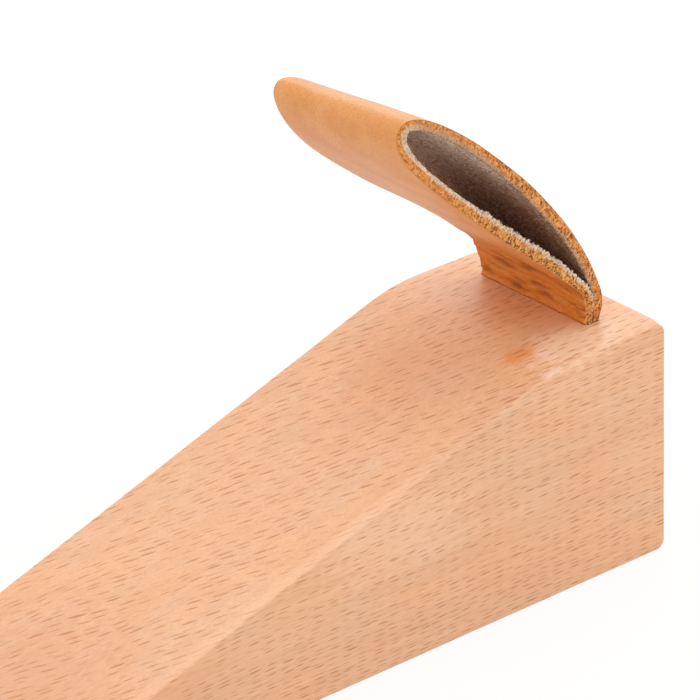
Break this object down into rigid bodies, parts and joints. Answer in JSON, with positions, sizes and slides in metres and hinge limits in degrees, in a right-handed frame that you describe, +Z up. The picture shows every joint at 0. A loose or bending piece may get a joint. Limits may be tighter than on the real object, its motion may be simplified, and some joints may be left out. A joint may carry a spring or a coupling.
{
  "type": "door stop",
  "caption": "Wooden door wedge with a level heel, one long slope and a folded leather pull loop set in a slot in its top.",
  "frame": {"origin": "on the floor, under the middle of the block", "axes": "+X along the wedge from the thin toe to the thick heel, +Y across it, +Z up"},
  "size_m": [0.14, 0.042, 0.091],
  "materials": {
    "beech": "planed and sanded beech with fine dark flecks along the grain, thinly oiled",
    "strap_leather": "smooth tan grain side, raw suede inside, cut edges",
    "glue": "dried wood glue"
  },
  "bodies": {
    "wedge": {"wedge_block": "beech", "glue_bed": "glue", "strap_end_lower": "strap_leather", "strap_end_upper": "strap_leather"},
    "loop": {"strap_loop": "strap_leather"}
  },
  "joints": [
    {"name": "strap_bend", "type": "hinge", "parent": "wedge", "child": "loop", "pos_m": [0.0615, 0, 0.0447], "axis": [0, 1, 0], "range_deg": [-53, 110], "stiffness_Nm_per_rad": 0.3}
  ]
}
